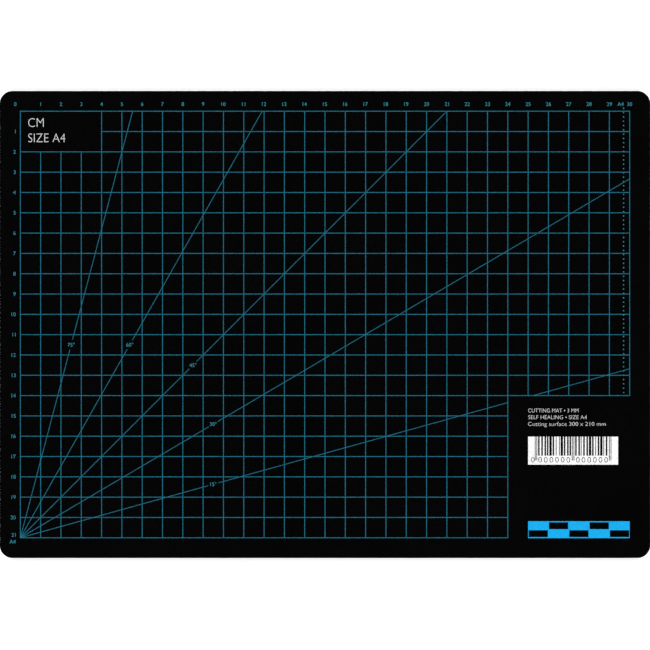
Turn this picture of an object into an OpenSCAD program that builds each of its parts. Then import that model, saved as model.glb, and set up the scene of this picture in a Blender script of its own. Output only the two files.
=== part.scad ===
// Self healing cutting mat for leather and paper craft, small desk size.
// Three vinyl plies and two bond films are laminated into one board, die cut with round corners,
// and a centimetre grid with guide lines, a white label panel and a check scale are screen printed on top.
// Frame: the origin is the centre of the underside. +X runs along the long side, the way the scale
// counts, +Y points to the long edge that carries the main scale, and +Z goes up through the layers.

/* [Board] */
// Length of the board along the main scale
board_l = 320.5; // [304:0.5:360]
// Width of the board
board_w = 230; // [214:1:260]
// Thickness of the laminated board, without the ink
board_t = 3; // [2.4:0.1:5]
// Radius of the four corners
corner_r = 6.5; // [2:0.5:12]

/* [Layers] */
// Thickness of the soft, self healing top ply
top_t = 0.9; // [0.5:0.05:1]
// Thickness of the soft bottom ply
bottom_t = 0.9; // [0.5:0.05:1]
// Thickness of each bond film between two plies
film_t = 0.1; // [0.05:0.01:0.15]
// Thickness of the printed ink
ink_t = 0.04; // [0.02:0.01:0.1]

/* [Grid] */
// Distance from one grid line to the next
pitch = 10; // [10:10:10]
// Number of squares along the board
columns = 30; // [30:1:30]
// Number of squares across the board
rows = 21; // [21:1:21]
// Width of a grid line
grid_line = 0.35; // [0.2:0.05:0.6]
// Columns and rows left open for the caption, in the grid's top left corner
caption_cells = [4, 2];
// Columns and rows left open for the label, in the grid's bottom right corner
label_cells = [6, 7];

/* [Angle lines] */
// Width of an angle line
angle_line = 0.3; // [0.2:0.05:0.6]
// Angles that fan out from the grid's bottom left corner, in degrees
angles = [15.5, 30.5, 45, 60.45, 75.25];
// Distance from the corner to each angle's figure, along the longer of its two directions
figure_reach = [95, 95, 85, 95, 95];
// Length of the gap that each line leaves for its figure
figure_gap = 5.2; // [4:0.1:8]

/* [Sheet limit] */
// Length of a standard sheet, which a dotted line marks from the grid's left edge
sheet_l = 297; // [297:1:297]
// Diameter of a dot
dot_d = 0.6; // [0.3:0.05:0.8]
// Distance from one dot to the next
dot_pitch = 2.12; // [1.5:0.02:3]
// How far the dotted line starts above the grid
dot_lead = 1.45; // [0:0.05:3]

/* [Label panel] */
// Length of the white panel
panel_l = 44.3; // [40:0.1:48]
// Height of the white panel
panel_h = 13.8; // [12.5:0.1:16]
// Height of the panel's lower edge above the grid's bottom edge
panel_y = 36; // [20:0.1:50]
// Length of the pattern of bars
bars_l = 37.7; // [30:0.1:38]
// Height of the ordinary bars
bar_h = 9.4; // [6:0.1:10]
// How much longer the guard bars are than the ordinary ones
guard_extra = 2.4; // [0.5:0.1:2.4]

/* [Check scale] */
// Number of one centimetre steps
scale_steps = 5; // [3:1:5]
// Height of the check scale
scale_h = 8.3; // [5:0.1:12]
// Width of the check scale's outline
scale_line = 0.5; // [0.3:0.05:1]

/* [Hidden] */
$fn = 96;

// Heights of the layers' undersides
lower_film_z = bottom_t;
core_z = lower_film_z + film_t;
upper_film_z = board_t - top_t - film_t;
top_z = board_t - top_t;
core_t = upper_film_z - core_z;

// Size of the grid, and half of each line's width
grid_l = columns * pitch;
grid_w = rows * pitch;
half_grid = grid_line / 2;
half_angle = angle_line / 2;

// The label's open block, measured from the grid's bottom left corner.
// What is printed in it starts one square in
label_x = (columns - label_cells[0]) * pitch;
label_h = label_cells[1] * pitch;
print_x = label_x + pitch;

// The standard sheet is marked down to the label block
dots = 1 + floor((grid_w - label_h + dot_lead - dot_d) / dot_pitch);

// The bars stand on a raster of 95 modules: 3 for each end guard, 5 for the middle one, and 12 groups of 7
module_w = bars_l / 95;
group_w = 7;
groups_a_side = 6;
side_guard_w = 3;
middle_guard_w = 5;
bars_x = (panel_l - bars_l) / 2;

// Outline of the board, which every layer shares
module board_2d() {
  straight_l = board_l - 2 * corner_r;
  straight_w = board_w - 2 * corner_r;
  square([straight_l, board_w], center = true);
  square([board_l, straight_w], center = true);
  for (sx = [-1, 1], sy = [-1, 1])
    translate([sx * straight_l / 2, sy * straight_w / 2]) circle(r = corner_r);
}

// One layer of the board, from height z
module layer(z, t) {
  translate([0, 0, z]) linear_extrude(t) board_2d();
}

// Ink on the board's top face. Its children are drawn from the grid's bottom left corner
module ink() {
  translate([-grid_l / 2, -grid_w / 2, board_t]) linear_extrude(ink_t) children();
}

// The inner area of a block of cells whose lines are left out
module open_block_2d(x, y, l, w) {
  translate([x + half_grid, y + half_grid]) square([l - grid_line, w - grid_line]);
}

// The whole grid: one upright line per column and one level line per row, without the two open blocks.
// The label block also takes the outer border along its two sides.
module grid_2d() {
  caption_l = caption_cells[0] * pitch;
  caption_w = caption_cells[1] * pitch;
  difference() {
    union() {
      for (i = [0:columns])
        translate([i * pitch - half_grid, -half_grid]) square([grid_line, grid_w + grid_line]);
      for (j = [0:rows])
        translate([-half_grid, j * pitch - half_grid]) square([grid_l + grid_line, grid_line]);
    }
    open_block_2d(0, grid_w - caption_w, caption_l, caption_w);
    translate([label_x + half_grid, -pitch]) square([grid_l, label_h + pitch - half_grid]);
  }
}

// One angle line from the grid's corner, with the gap for its figure
module angle_line_2d(angle, reach) {
  along = reach / max(cos(angle), sin(angle));
  rotate(angle) difference() {
    translate([0, -half_angle]) square([grid_l + grid_w, angle_line]);
    translate([along - figure_gap / 2, -angle_line]) square([figure_gap, 2 * angle_line]);
  }
}

// All angle lines, which stop at the grid's border and at the label block
module angle_lines_2d() {
  difference() {
    intersection() {
      for (i = [0:len(angles) - 1]) angle_line_2d(angles[i], figure_reach[i]);
      square([grid_l, grid_w]);
    }
    translate([label_x, 0]) square([grid_l, label_h]);
  }
}

// Bars of one group: the first starts 1 or 2 modules in, the second ends with the group
module group_bars_2d(i) {
  first_x = 1 + i % 2;
  first_w = (i % 3 == 0 ? 2 : 3) - i % 2;
  last_w = i % 4 == 3 ? 1 : 2;
  translate([first_x * module_w, 0]) square([first_w * module_w, bar_h]);
  translate([(group_w - last_w) * module_w, 0]) square([last_w * module_w, bar_h]);
}

// A guard is a pair of thin bars, one module apart
module guard_bars_2d() {
  for (i = [0, 2]) translate([i * module_w, -guard_extra]) square([module_w, bar_h + guard_extra]);
}

// The pattern of bars. It follows a formula and stands for no number
module bars_2d() {
  side_w = groups_a_side * group_w;
  right_x = side_guard_w + side_w + middle_guard_w;
  guard_bars_2d();
  translate([(side_guard_w + side_w + 1) * module_w, 0]) guard_bars_2d();
  translate([(right_x + side_w) * module_w, 0]) guard_bars_2d();
  for (i = [0:groups_a_side - 1]) {
    translate([(side_guard_w + i * group_w) * module_w, 0]) group_bars_2d(i);
    translate([(right_x + (i + 1) * group_w) * module_w, 0])
      mirror([1, 0]) group_bars_2d(i + groups_a_side);
  }
}

module bottom_ply() {
  color("#161618") layer(0, bottom_t);
}

module lower_bond_film() {
  color("#4a4a46") layer(lower_film_z, film_t);
}

module core_ply() {
  color("#242427") layer(core_z, core_t);
}

module upper_bond_film() {
  color("#4a4a46") layer(upper_film_z, film_t);
}

module top_ply() {
  color("#060607") layer(top_z, top_t);
}

module grid_ink() {
  color("#1b5a6b") ink() grid_2d();
}

// The lines are broken where they cross the grid, so no ink is doubled
module angle_lines_ink() {
  color("#1b5a6b") ink() difference() {
    angle_lines_2d();
    grid_2d();
  }
}

module sheet_limit_ink() {
  color("#1b5a6b") ink() difference() {
    for (i = [0:dots - 1])
      translate([sheet_l, grid_w + dot_lead - i * dot_pitch]) circle(d = dot_d, $fn = 24);
    grid_2d();
  }
}

// The bars are left open in the white ink, so the black board shows through them
module label_panel_ink() {
  color("#fcfcfc") ink() translate([print_x, panel_y]) difference() {
    square([panel_l, panel_h]);
    translate([bars_x, panel_h - bar_h]) bars_2d();
  }
}

// A two row check scale: every second square is left open, upper and lower row in turn
module check_scale_ink() {
  scale_l = scale_steps * pitch;
  window_l = pitch - scale_line;
  window_h = (scale_h - 3 * scale_line) / 2;
  color("#09a5e1") ink() translate([print_x, -half_grid]) difference() {
    square([scale_l, scale_h]);
    for (i = [0:scale_steps - 1])
      translate([i * pitch + scale_line / 2, scale_line + (i % 2) * (window_h + scale_line)])
        square([window_l, window_h]);
  }
}

bottom_ply();
lower_bond_film();
core_ply();
upper_bond_film();
top_ply();
grid_ink();
angle_lines_ink();
sheet_limit_ink();
label_panel_ink();
check_scale_ink();
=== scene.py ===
import math

import bmesh
import bpy
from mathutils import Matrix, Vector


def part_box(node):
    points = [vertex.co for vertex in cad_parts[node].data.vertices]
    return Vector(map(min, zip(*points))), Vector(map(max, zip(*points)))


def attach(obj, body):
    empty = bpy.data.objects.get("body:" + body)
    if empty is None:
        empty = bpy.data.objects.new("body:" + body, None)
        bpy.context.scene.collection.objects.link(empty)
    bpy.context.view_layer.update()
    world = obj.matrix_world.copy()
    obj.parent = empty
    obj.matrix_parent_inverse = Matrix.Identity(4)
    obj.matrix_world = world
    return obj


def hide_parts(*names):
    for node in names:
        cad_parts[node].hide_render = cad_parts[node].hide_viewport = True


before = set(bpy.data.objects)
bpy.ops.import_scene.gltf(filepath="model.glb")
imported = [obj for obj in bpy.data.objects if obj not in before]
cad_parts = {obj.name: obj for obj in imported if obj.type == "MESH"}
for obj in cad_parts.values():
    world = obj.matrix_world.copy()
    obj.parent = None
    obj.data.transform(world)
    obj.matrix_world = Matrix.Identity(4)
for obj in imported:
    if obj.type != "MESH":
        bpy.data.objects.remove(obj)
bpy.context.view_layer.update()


# ---------------------------------------------------------------- bottom ply
# The bottom ply is a sheet of soft black vinyl with a fine matt grain that grips the desk.
# It is the first of five layers that are laid up, pressed into one board and cut out with a
# steel rule die, which leaves its lower edge softly rounded.

mm = 0.001
pebble = 0.5 * mm
fine_grain = 0.12 * mm

ply_low, ply_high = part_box("bottom_ply")
half_l = ply_high.x
half_w = ply_high.y
hair = 0.01 * mm
ply_points = [v.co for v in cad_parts["bottom_ply"].data.vertices]
flat_end = max(point.x for point in ply_points if point.y > half_w - hair)
corner_r = half_l - flat_end
corner_steps = 14
cells_long = 60
cells_wide = 42


def edge_arc(low, high, lower_round, upper_round, set_back):
    """Cut edge of one layer from its underside to its top, as pairs of inset and height."""
    steps = 6
    edge = []
    for i in range(steps + 1):
        turn = math.pi / 2 * i / steps
        inset = set_back + lower_round * (1 - math.sin(turn))
        edge.append((inset, low + lower_round * (1 - math.cos(turn))))
    for i in range(steps + 1):
        turn = math.pi / 2 * i / steps
        inset = set_back + upper_round * (1 - math.cos(turn))
        edge.append((inset, high - upper_round * (1 - math.sin(turn))))
    return edge


def board_layer(name, low, high, lower_round, upper_round, set_back):
    """A layer with the board's outline: a grid of quads on both faces and rings of quads round its edge."""
    layer = bmesh.new()
    core_x = half_l - corner_r
    core_y = half_w - corner_r
    xs = [core_x * (2 * i / cells_long - 1) for i in range(cells_long + 1)]
    ys = [core_y * (2 * j / cells_wide - 1) for j in range(cells_wide + 1)]

    # the outline runs counter-clockwise: a stop is a point of the inner rectangle and a direction out of it
    stops = []
    sides = [
        ([(core_x, y) for y in ys], 0.0),
        ([(x, core_y) for x in reversed(xs)], 90.0),
        ([(-core_x, y) for y in reversed(ys)], 180.0),
        ([(x, -core_y) for x in xs], 270.0),
    ]
    for points, facing in sides:
        stops += [(x, y, math.radians(facing)) for x, y in points]
        corner_x, corner_y = points[-1]
        for i in range(1, corner_steps):
            stops.append((corner_x, corner_y, math.radians(facing + 90.0 * i / corner_steps)))

    rings = []
    for inset, height in edge_arc(low, high, lower_round, upper_round, set_back):
        reach = corner_r - inset
        ring = []
        for x, y, turn in stops:
            ring.append(layer.verts.new((x + reach * math.cos(turn), y + reach * math.sin(turn), height)))
        rings.append(ring)
    count = len(stops)
    for below, above in zip(rings, rings[1:]):
        for i in range(count):
            j = (i + 1) % count
            layer.faces.new((below[i], below[j], above[j], above[i]))

    for rim, height, upward in ((rings[0], low, False), (rings[-1], high, True)):
        table = {(x, y): layer.verts.new((x, y, height)) for x in xs for y in ys}
        faces = []
        for x0, x1 in zip(xs, xs[1:]):
            for y0, y1 in zip(ys, ys[1:]):
                faces.append((table[x0, y0], table[x1, y0], table[x1, y1], table[x0, y1]))
        for i in range(count):
            j = (i + 1) % count
            here = table[stops[i][0], stops[i][1]]
            there = table[stops[j][0], stops[j][1]]
            if here is there:
                faces.append((here, rim[i], rim[j]))
            else:
                faces.append((here, rim[i], rim[j], there))
        for face in faces:
            layer.faces.new(face if upward else tuple(reversed(face)))

    mesh = bpy.data.meshes.new(name)
    layer.to_mesh(mesh)
    layer.free()
    mesh.shade_smooth()
    piece = bpy.data.objects.new(name, mesh)
    bpy.context.scene.collection.objects.link(piece)
    return piece


def blank_material(name):
    """A new material, with its node tree and its shader."""
    material = bpy.data.materials.new(name)
    material.use_nodes = True
    tree = material.node_tree
    return material, tree, tree.nodes["Principled BSDF"]


def node(tree, kind, **settings):
    """A node with its properties and its inputs' values set by name."""
    made = tree.nodes.new(kind)
    for key, value in settings.items():
        if hasattr(made, key):
            setattr(made, key, value)
        else:
            made.inputs[key.replace("_", " ")].default_value = value
    return made


def ramp(tree, source, low, low_value, high, high_value):
    """A smooth step of a pattern, from one value to another."""
    step = node(tree, "ShaderNodeMapRange", interpolation_type="SMOOTHSTEP")
    step.inputs["From Min"].default_value = low
    step.inputs["From Max"].default_value = high
    step.inputs["To Min"].default_value = low_value
    step.inputs["To Max"].default_value = high_value
    tree.links.new(source, step.inputs["Value"])
    return step.outputs["Result"]


def mix_colour(tree, factor, first, second):
    """A colour between two others. Each may be a colour or another node's output."""
    mix = tree.nodes.new("ShaderNodeMix")
    mix.data_type = "RGBA"
    factor_in, first_in, second_in = mix.inputs[0], mix.inputs[6], mix.inputs[7]
    tree.links.new(factor, factor_in)
    for socket, colour in ((first_in, first), (second_in, second)):
        if isinstance(colour, tuple):
            socket.default_value = (*colour, 1)
        else:
            tree.links.new(colour, socket)
    return mix.outputs[2]


def vinyl_grain(tree, where):
    """Height of the pebbled grain that the press plate leaves on soft vinyl, from 0 to 1."""
    pebbles = node(tree, "ShaderNodeTexVoronoi", feature="SMOOTH_F1", Scale=1 / pebble)
    pebbles.inputs["Smoothness"].default_value = 0.35
    tree.links.new(where, pebbles.inputs["Vector"])
    fine = node(tree, "ShaderNodeTexNoise", Scale=1 / fine_grain, Detail=2.0)
    tree.links.new(where, fine.inputs["Vector"])
    domes = ramp(tree, pebbles.outputs["Distance"], 0.1, 1.0, 0.75, 0.0)
    height = node(tree, "ShaderNodeMath", operation="MULTIPLY_ADD")
    height.inputs[1].default_value = 0.25
    tree.links.new(fine.outputs["Fac"], height.inputs[0])
    tree.links.new(domes, height.inputs[2])
    return height.outputs[0]


def soft_vinyl(name, dark, light, rubbed):
    """Soft black vinyl: pebbled faces, a lighter rubbed edge and a side with the die's drag lines."""
    material, tree, shader = blank_material(name)
    where = node(tree, "ShaderNodeTexCoord")
    spot = where.outputs["Object"]
    grain = vinyl_grain(tree, spot)

    # slow changes of tone and gloss, from uneven pressing
    clouds = node(tree, "ShaderNodeTexNoise", Scale=28.0, Detail=3.0, Roughness=0.55)
    tree.links.new(spot, clouds.inputs["Vector"])
    tone = ramp(tree, clouds.outputs["Fac"], 0.3, 0.4, 0.7, 1.0)

    # how level the surface is: 1 on the faces, 0 on the cut side
    facing = node(tree, "ShaderNodeSeparateXYZ")
    tree.links.new(where.outputs["Normal"], facing.inputs[0])
    level = node(tree, "ShaderNodeMath", operation="ABSOLUTE")
    tree.links.new(facing.outputs["Z"], level.inputs[0])
    on_face = ramp(tree, level.outputs[0], 0.9, 0.0, 0.995, 1.0)
    on_side = ramp(tree, level.outputs[0], 0.1, 1.0, 0.5, 0.0)

    # the die drags fine upright lines down the side
    stretch = node(tree, "ShaderNodeMapping")
    stretch.inputs["Scale"].default_value = (1.0, 1.0, 0.06)
    tree.links.new(spot, stretch.inputs["Vector"])
    drag = node(tree, "ShaderNodeTexNoise", Scale=5200.0, Detail=2.0)
    tree.links.new(stretch.outputs["Vector"], drag.inputs["Vector"])

    tips = node(tree, "ShaderNodeMath", operation="MULTIPLY")
    tree.links.new(ramp(tree, grain, 0.55, 0.0, 1.15, 1.0), tips.inputs[0])
    tree.links.new(tone, tips.inputs[1])
    black = mix_colour(tree, tips.outputs[0], dark, light)
    edge_wear = mix_colour(tree, on_face, rubbed, black)
    tree.links.new(edge_wear, shader.inputs["Base Color"])

    rough = ramp(tree, clouds.outputs["Fac"], 0.3, 0.5, 0.7, 0.6)
    tree.links.new(rough, shader.inputs["Roughness"])
    shader.inputs["Specular IOR Level"].default_value = 0.02

    relief = node(tree, "ShaderNodeMix", data_type="FLOAT")
    tree.links.new(on_side, relief.inputs[0])
    tree.links.new(grain, relief.inputs[2])
    tree.links.new(drag.outputs["Fac"], relief.inputs[3])
    bump = node(tree, "ShaderNodeBump", Strength=0.8)
    bump.inputs["Distance"].default_value = 0.05 * mm
    tree.links.new(relief.outputs[0], bump.inputs["Height"])
    tree.links.new(bump.outputs["Normal"], shader.inputs["Normal"])
    return material


bottom_dark = (0.0012, 0.0012, 0.0014)
bottom_light = (0.0060, 0.0060, 0.0065)
bottom_rubbed = (0.008, 0.008, 0.0085)
lower_edge_round = 0.35 * mm
ply_joint_round = 0.05 * mm
bottom_black = soft_vinyl("soft_vinyl_bottom", bottom_dark, bottom_light, bottom_rubbed)
bottom_sheet = board_layer("bottom_sheet", ply_low.z, ply_high.z, lower_edge_round, ply_joint_round, 0.0)
bottom_sheet.data.materials.append(bottom_black)
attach(bottom_sheet, "root")
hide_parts("bottom_ply")


# ---------------------------------------------------------------- bond films
# A thin clear film bonds each soft ply to the core. It melts in the press and spreads evenly.
# After die cutting it shows only at the side, as a fine pale line a hair behind the plies.

film_set_back = 0.05 * mm
film_round = 0.02 * mm


def bond_film_plastic():
    """Clear film seen edge on: smoky grey, glossy, with small changes of tone along the edge."""
    material, tree, shader = blank_material("bond_film_plastic")
    where = node(tree, "ShaderNodeTexCoord")
    streaks = node(tree, "ShaderNodeTexNoise", Scale=400.0, Detail=3.0)
    tree.links.new(where.outputs["Object"], streaks.inputs["Vector"])
    colour = mix_colour(tree, streaks.outputs["Fac"], (0.03, 0.03, 0.029), (0.09, 0.09, 0.086))
    tree.links.new(colour, shader.inputs["Base Color"])
    rough = ramp(tree, streaks.outputs["Fac"], 0.3, 0.28, 0.7, 0.4)
    tree.links.new(rough, shader.inputs["Roughness"])
    bump = node(tree, "ShaderNodeBump", Strength=0.3)
    bump.inputs["Distance"].default_value = 0.01 * mm
    tree.links.new(streaks.outputs["Fac"], bump.inputs["Height"])
    tree.links.new(bump.outputs["Normal"], shader.inputs["Normal"])
    return material


film_plastic = bond_film_plastic()
for film in ("lower_bond_film", "upper_bond_film"):
    film_low, film_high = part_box(film)
    film_sheet = board_layer(film + "_sheet", film_low.z, film_high.z, film_round, film_round, film_set_back)
    film_sheet.data.materials.append(film_plastic)
    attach(film_sheet, "root")
    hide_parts(film)


# ---------------------------------------------------------------- core ply
# The core is a sheet of hard dark grey vinyl that keeps the board flat and stops the blade.
# It is cut in the same stroke as the soft plies, and its side keeps the die's fine drag lines.

core_set_back = 0.02 * mm
core_round = 0.03 * mm


def hard_vinyl():
    """Hard vinyl at a cut edge: dark grey, slightly glossy, with upright drag lines."""
    material, tree, shader = blank_material("hard_vinyl_core")
    where = node(tree, "ShaderNodeTexCoord")
    stretch = node(tree, "ShaderNodeMapping")
    stretch.inputs["Scale"].default_value = (1.0, 1.0, 0.04)
    tree.links.new(where.outputs["Object"], stretch.inputs["Vector"])
    drag = node(tree, "ShaderNodeTexNoise", Scale=6500.0, Detail=3.0)
    tree.links.new(stretch.outputs["Vector"], drag.inputs["Vector"])
    colour = mix_colour(tree, drag.outputs["Fac"], (0.012, 0.012, 0.013), (0.03, 0.03, 0.032))
    tree.links.new(colour, shader.inputs["Base Color"])
    rough = ramp(tree, drag.outputs["Fac"], 0.3, 0.38, 0.7, 0.52)
    tree.links.new(rough, shader.inputs["Roughness"])
    bump = node(tree, "ShaderNodeBump", Strength=0.5)
    bump.inputs["Distance"].default_value = 0.015 * mm
    tree.links.new(drag.outputs["Fac"], bump.inputs["Height"])
    tree.links.new(bump.outputs["Normal"], shader.inputs["Normal"])
    return material


core_low, core_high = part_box("core_ply")
core_sheet = board_layer("core_sheet", core_low.z, core_high.z, core_round, core_round, core_set_back)
core_sheet.data.materials.append(hard_vinyl())
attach(core_sheet, "root")
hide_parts("core_ply")


# ---------------------------------------------------------------- top ply
# The top ply is the cutting surface: soft, deep black vinyl that closes again behind the blade.
# It has the same pebbled grain as the underside, so that work doesn't slide, and the die rounds
# its upper edge.

top_low, top_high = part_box("top_ply")
top_dark = (0.0002, 0.0002, 0.0003)
top_light = (0.0021, 0.0021, 0.0024)
top_rubbed = (0.002, 0.002, 0.0023)
upper_edge_round = 0.15 * mm
top_black = soft_vinyl("soft_vinyl_top", top_dark, top_light, top_rubbed)
top_sheet = board_layer("top_sheet", top_low.z, top_high.z, ply_joint_round, upper_edge_round, 0.0)
top_sheet.data.materials.append(top_black)
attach(top_sheet, "root")
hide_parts("top_ply")


# ---------------------------------------------------------------- grid and guide lines
# The centimetre grid, the angle lines and the dotted line are screen printed in one pass of
# cyan ink. The ink sinks into the vinyl's grain, so its tone breaks up a little up close, and
# the fine lines take less of it than the dots do.


def screen_ink(name, thin, full, gloss):
    """Screen ink on grained vinyl: paler where it pools, thinner over the tops of the grain."""
    material, tree, shader = blank_material(name)
    where = node(tree, "ShaderNodeTexCoord")
    spot = where.outputs["Object"]
    grain = vinyl_grain(tree, spot)
    squeegee = node(tree, "ShaderNodeTexNoise", Scale=900.0, Detail=3.0)
    tree.links.new(spot, squeegee.inputs["Vector"])
    cover = node(tree, "ShaderNodeMath", operation="ADD")
    tree.links.new(ramp(tree, grain, 0.0, 0.75, 1.2, 0.35), cover.inputs[0])
    tree.links.new(ramp(tree, squeegee.outputs["Fac"], 0.3, -0.25, 0.7, 0.35), cover.inputs[1])
    cover.use_clamp = True
    colour = mix_colour(tree, cover.outputs[0], thin, full)
    tree.links.new(colour, shader.inputs["Base Color"])
    rough = ramp(tree, squeegee.outputs["Fac"], 0.3, gloss, 0.7, gloss + 0.12)
    tree.links.new(rough, shader.inputs["Roughness"])
    shader.inputs["Specular IOR Level"].default_value = 0.12
    bump = node(tree, "ShaderNodeBump", Strength=0.35)
    bump.inputs["Distance"].default_value = 0.03 * mm
    tree.links.new(grain, bump.inputs["Height"])
    tree.links.new(bump.outputs["Normal"], shader.inputs["Normal"])
    return material


line_ink = screen_ink("cyan_line_ink", (0.0065, 0.085, 0.128), (0.0120, 0.145, 0.218), 0.42)
figure_ink = screen_ink("cyan_figure_ink", (0.020, 0.135, 0.170), (0.036, 0.220, 0.270), 0.42)
cyan_prints = (("grid_ink", line_ink), ("angle_lines_ink", line_ink), ("sheet_limit_ink", figure_ink))
for print_name, ink in cyan_prints:
    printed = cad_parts[print_name]
    printed.data.materials.clear()
    printed.data.materials.append(ink)


# ---------------------------------------------------------------- scale figures
# The figures of both scales and of the angle lines are printed in the same pass as the grid.
# The long scale counts from left to right and the short one downwards, and both mark the end
# of a standard sheet.

square = 10.0
grid_low, grid_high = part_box("grid_ink")
columns = round((grid_high.x - grid_low.x) / (square * mm))
rows = round((grid_high.y - grid_low.y) / (square * mm))
grid_left = -columns * square / 2
grid_top = rows * square / 2
ink_low = grid_low.z / mm
ink_high = grid_high.z / mm

# a capital's height when the lettering's size is 1, then places in millimetres from the grid's lines
capital_height = 0.682
figure_height = 1.8
top_figures_up = 3.5
side_figures_out = 2.3
zero_out = 2.5
sheet_mark_at = 295.5
last_row_up = 1.4
sheet_mark_down = 1.9


def letters(words, height, stroke=0.0):
    """Outlines of some words as a text curve, in millimetres, with capitals of the given height."""
    curve = bpy.data.curves.new("letters", "FONT")
    curve.body = words
    curve.size = height / capital_height
    curve.offset = stroke
    curve.extrude = (ink_high - ink_low) / 2
    curve.resolution_u = 6
    return bpy.data.objects.new("letters", curve)


def printed_mesh(drawn):
    """Solid mesh of a curve, which is then dropped."""
    bpy.context.scene.collection.objects.link(drawn)
    bpy.context.view_layer.update()
    shape = drawn.evaluated_get(bpy.context.evaluated_depsgraph_get())
    mesh = bpy.data.meshes.new_from_object(shape)
    bpy.data.objects.remove(drawn)
    return mesh


def print_words(into, words, height, x, y, align="centre", width=None, stroke=0.0):
    """Prints words into a piece. x is their left edge, centre or right edge, and y their baseline."""
    mesh = printed_mesh(letters(words, height, stroke))
    left = min(v.co.x for v in mesh.vertices)
    right = max(v.co.x for v in mesh.vertices)
    squeeze = width / (right - left) if width else 1.0
    anchor = {"left": left, "centre": (left + right) / 2, "right": right}[align]
    middle = (ink_low + ink_high) / 2
    for v in mesh.vertices:
        v.co = (x + (v.co.x - anchor) * squeeze, y + v.co.y, middle + v.co.z)
    into.from_mesh(mesh)
    bpy.data.meshes.remove(mesh)


weld_gap = 0.0005


def finish_print(into, name, ink):
    """Closes a printed piece's outlines, brings it to metres and puts it on the board."""
    bmesh.ops.remove_doubles(into, verts=into.verts, dist=weld_gap)

    # only the flat faces are divided anew, so that no sliver stays in the lettering
    for face in into.faces:
        face.tag = len({round(v.co.z, 3) for v in face.verts}) == 1
    flat = [f for f in into.faces if f.tag]
    inner = [e for e in into.edges if all(f.tag for f in e.link_faces)]
    bmesh.ops.beautify_fill(into, faces=flat, edges=inner)

    bmesh.ops.scale(into, vec=(mm, mm, mm), verts=into.verts)
    bmesh.ops.recalc_face_normals(into, faces=into.faces)
    mesh = bpy.data.meshes.new(name)
    into.to_mesh(mesh)
    into.free()
    mesh.materials.append(ink)
    piece = bpy.data.objects.new(name, mesh)
    bpy.context.scene.collection.objects.link(piece)
    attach(piece, "root")
    return piece


half_figure = figure_height / 2

top_figures = bmesh.new()
top_line = grid_top + top_figures_up - half_figure
print_words(top_figures, "0", figure_height, grid_left - zero_out, top_line)
for count in range(1, columns + 1):
    print_words(top_figures, str(count), figure_height, grid_left + count * square, top_line)
print_words(top_figures, "A4", figure_height, grid_left + sheet_mark_at, top_line)
finish_print(top_figures, "long_scale_figures", figure_ink)

side_figures = bmesh.new()
side_edge = grid_left - side_figures_out
for count in range(1, rows):
    side_line = grid_top - count * square - half_figure
    print_words(side_figures, str(count), figure_height, side_edge, side_line, "right")
grid_bottom = grid_top - rows * square
last_line = grid_bottom + last_row_up - half_figure
print_words(side_figures, str(rows), figure_height, side_edge, last_line, "right")
sheet_line = grid_bottom - sheet_mark_down - half_figure
print_words(side_figures, "A4", figure_height, side_edge, sheet_line, "right")
finish_print(side_figures, "short_scale_figures", figure_ink)

# each line's real direction, its round figure, and how far out the figure stands
# on the longer of its two directions
angle_marks = [(15.5, 15, 95.0), (30.5, 30, 95.0), (45.0, 45, 85.0), (60.45, 60, 95.0), (75.25, 75, 95.0)]
angle_figures = bmesh.new()
for direction, shown, reach in angle_marks:
    turn = math.radians(direction)
    along = reach / max(math.cos(turn), math.sin(turn))
    mark_x = grid_left + along * math.cos(turn)
    mark_y = grid_bottom + along * math.sin(turn)
    print_words(angle_figures, f"{shown}°", figure_height, mark_x, mark_y - half_figure)
finish_print(angle_figures, "angle_figures", figure_ink)


# ---------------------------------------------------------------- check scale
# A solid cyan check scale of five centimetres stands in the bottom right corner. It is printed
# with a full load of ink, so it looks much brighter than the thin lines.

solid_ink = screen_ink("cyan_solid_ink", (0.005, 0.29, 0.62), (0.006, 0.36, 0.74), 0.4)
check_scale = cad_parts["check_scale_ink"]
check_scale.data.materials.clear()
check_scale.data.materials.append(solid_ink)


# ---------------------------------------------------------------- white print
# The caption, the notes and the label panel are a second pass, in white ink. The ink lies thick
# on the panel and thinner on the fine letters. The bars and noughts of the panel are left open,
# and the black vinyl shows through them.

fine_white_ink = screen_ink("fine_white_ink", (0.46, 0.46, 0.455), (0.60, 0.60, 0.595), 0.45)
thick_white_ink = screen_ink("thick_white_ink", (0.62, 0.62, 0.62), (0.87, 0.87, 0.87), 0.45)
caption_height = 4.4
caption_left = grid_left + 3.9
caption_thin = -0.12

# the words of each line, their width, and how far their baseline lies below the grid's top edge
caption_lines = [("CM", 7.6, 7.8), ("SIZE A4", 18.2, 15.3)]

caption = bmesh.new()
for words, width, down in caption_lines:
    print_words(caption, words, caption_height, caption_left, grid_top - down, "left", width, caption_thin)
finish_print(caption, "caption_print", fine_white_ink)

panel_low, panel_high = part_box("label_panel_ink")
note_left = panel_low.x / mm
note_height = 1.9
first_note_up = 11.9
first_note = panel_high.y / mm + first_note_up
note_pitch = 3.3
note_thin = -0.035
note_lines = [
    ("CUTTING MAT • 3 MM", 24.8),
    ("SELF HEALING • SIZE A4", 28.9),
    ("Cutting surface 300 x 210 mm", 38.2),
]
notes = bmesh.new()
for i, (words, width) in enumerate(note_lines):
    print_words(notes, words, note_height, note_left, first_note - i * note_pitch, "left", width, note_thin)
finish_print(notes, "notes_print", fine_white_ink)


film_weld_gap = 0.0001 * mm


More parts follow.
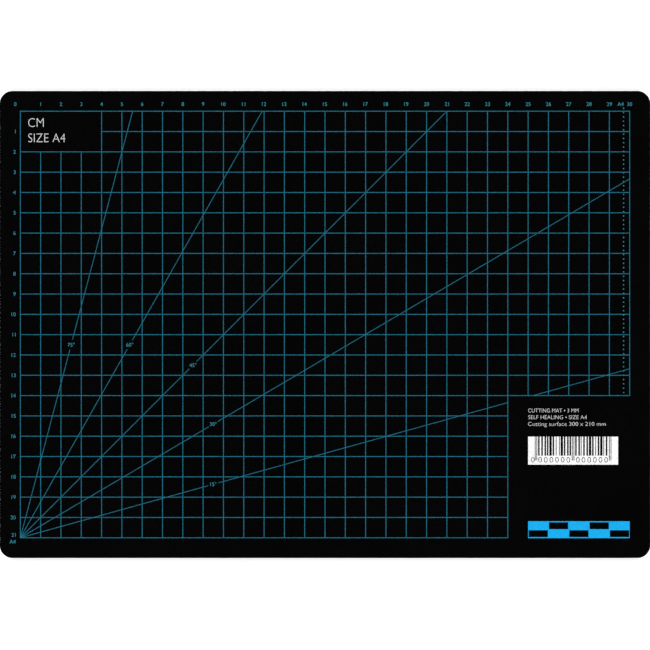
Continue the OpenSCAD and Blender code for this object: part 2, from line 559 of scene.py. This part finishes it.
def top_outlines(film):
    """Closed outlines of a film's top face, in millimetres."""
    solid = bmesh.new()
    solid.from_mesh(film.data)
    bmesh.ops.remove_doubles(solid, verts=solid.verts, dist=film_weld_gap)
    solid.normal_update()
    solid.edges.index_update()
    rim = {e.index: e for e in solid.edges if sum(f.normal.z > 0.9 for f in e.link_faces) == 1}
    outlines = []
    while rim:
        edge = rim.pop(min(rim))
        start, here = edge.verts
        outline = [start, here]
        while here is not start:
            edge = next(e for e in here.link_edges if e.index in rim)
            del rim[edge.index]
            here = edge.other_vert(here)
            outline.append(here)
        outlines.append([(v.co.x / mm, v.co.y / mm) for v in outline[:-1]])
    solid.free()
    return outlines


# the noughts' size, and their places in millimetres from the panel's lower left corner
nought_half_width = 0.88
nought_half_height = 1.35
nought_stroke = 0.33
nought_squareness = 0.9
nought_steps = 40
nought_up = 2.4
nought_pitch = 2.78
first_nought = 2.3
half_starts = (5.9, 24.5)
noughts_a_half = 6


def nought(x, y):
    """Outer and inner outline of a nought, an oval a little squarer than an ellipse."""
    ovals = []
    for inset in (0.0, nought_stroke):
        oval = []
        for i in range(nought_steps):
            turn = 2 * math.pi * i / nought_steps
            across = math.copysign(abs(math.cos(turn)) ** nought_squareness, math.cos(turn))
            up = math.copysign(abs(math.sin(turn)) ** nought_squareness, math.sin(turn))
            oval.append((x + (nought_half_width - inset) * across, y + (nought_half_height - inset) * up))
        ovals.append(oval)
    return ovals


outlines = top_outlines(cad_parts["label_panel_ink"])
nought_places = [first_nought]
for start in half_starts:
    nought_places += [start + i * nought_pitch for i in range(noughts_a_half)]
for place in nought_places:
    outlines += nought(note_left + place, panel_low.y / mm + nought_up)

drawn = bpy.data.objects.new("panel_outlines", bpy.data.curves.new("panel_outlines", "CURVE"))
drawn.data.dimensions = "2D"
drawn.data.fill_mode = "BOTH"
drawn.data.extrude = (ink_high - ink_low) / 2
for outline in outlines:
    spline = drawn.data.splines.new("POLY")
    spline.points.add(len(outline) - 1)
    for point, (x, y) in zip(spline.points, outline):
        point.co = (x, y, 0, 1)
    spline.use_cyclic_u = True
panel_mesh = printed_mesh(drawn)
panel = bmesh.new()
panel.from_mesh(panel_mesh)
bmesh.ops.translate(panel, vec=(0, 0, (ink_low + ink_high) / 2), verts=panel.verts)
label_panel = finish_print(panel, "label_panel", thick_white_ink)
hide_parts("label_panel_ink")


# ---------------------------------------------------------------- table and lights
# The mat lies on a plain pale table, far larger than the picture. Four wide soft lamps stand low
# around it, so that the table is bright and the black vinyl doesn't mirror them.

table_mesh = bpy.data.meshes.new("table")
table_half = 4.0
table_drop = 0.02 * mm
table_corners = [(-1, -1), (1, -1), (1, 1), (-1, 1)]
table_points = [(x * table_half, y * table_half, -table_drop) for x, y in table_corners]
table_mesh.from_pydata(table_points, [], [(0, 1, 2, 3)])
table = bpy.data.objects.new("table", table_mesh)
bpy.context.scene.collection.objects.link(table)
table_paint, _, table_shader = blank_material("table_paint")
table_shader.inputs["Base Color"].default_value = (0.9, 0.9, 0.9, 1)
table_shader.inputs["Roughness"].default_value = 0.8
table_shader.inputs["Specular IOR Level"].default_value = 0.1
table_shader.inputs["Emission Color"].default_value = (1, 1, 1, 1)
table_shader.inputs["Emission Strength"].default_value = 0.3
table_mesh.materials.append(table_paint)

lamp_distance = 1.5
lamp_height = 1.15
lamp_size = 0.9
lamp_power = 18.3
for i in range(4):
    turn = math.radians(45 + 90 * i)
    lamp_data = bpy.data.lights.new(f"soft_lamp_{i + 1}", "AREA")
    lamp_data.shape = "SQUARE"
    lamp_data.size = lamp_size
    lamp_data.energy = lamp_power
    lamp = bpy.data.objects.new(f"soft_lamp_{i + 1}", lamp_data)
    lamp.location = (lamp_distance * math.cos(turn), lamp_distance * math.sin(turn), lamp_height)
    lamp.rotation_euler = (-lamp.location).to_track_quat("-Z", "Y").to_euler()
    bpy.context.scene.collection.objects.link(lamp)

room = bpy.data.worlds.new("room")
room.use_nodes = True
room_tree = room.node_tree
room_light = room_tree.nodes["Background"]
sky = room_tree.nodes.new("ShaderNodeTexCoord")
split = room_tree.nodes.new("ShaderNodeSeparateXYZ")
room_tree.links.new(sky.outputs["Generated"], split.inputs[0])
overhead = ramp(room_tree, split.outputs["Z"], 0.05, 0.75, 0.5, 0.03)
room_light.inputs["Color"].default_value = (1, 1, 1, 1)
room_tree.links.new(overhead, room_light.inputs["Strength"])
bpy.context.scene.world = room
bpy.context.scene.view_settings.view_transform = "Standard"


# ---------------------------------------------------------------- camera
# The camera looks straight down on the mat from a distance, with a long lens. The mat's length
# fills the picture's width and runs a hair past it at each end.

lens = 200.0
sensor = 36.0
picture_width = 650
down_shift = 0.5
shown_part = 0.9985
camera_data = bpy.data.cameras.new("camera")
camera_data.lens = lens
camera_data.sensor_width = sensor
camera = bpy.data.objects.new("camera", camera_data)
mat_length = 2 * half_l
distance = shown_part * mat_length * lens / sensor
camera.location = (0, -down_shift * mat_length / picture_width, top_high.z + distance)
bpy.context.scene.collection.objects.link(camera)
bpy.context.scene.camera = camera
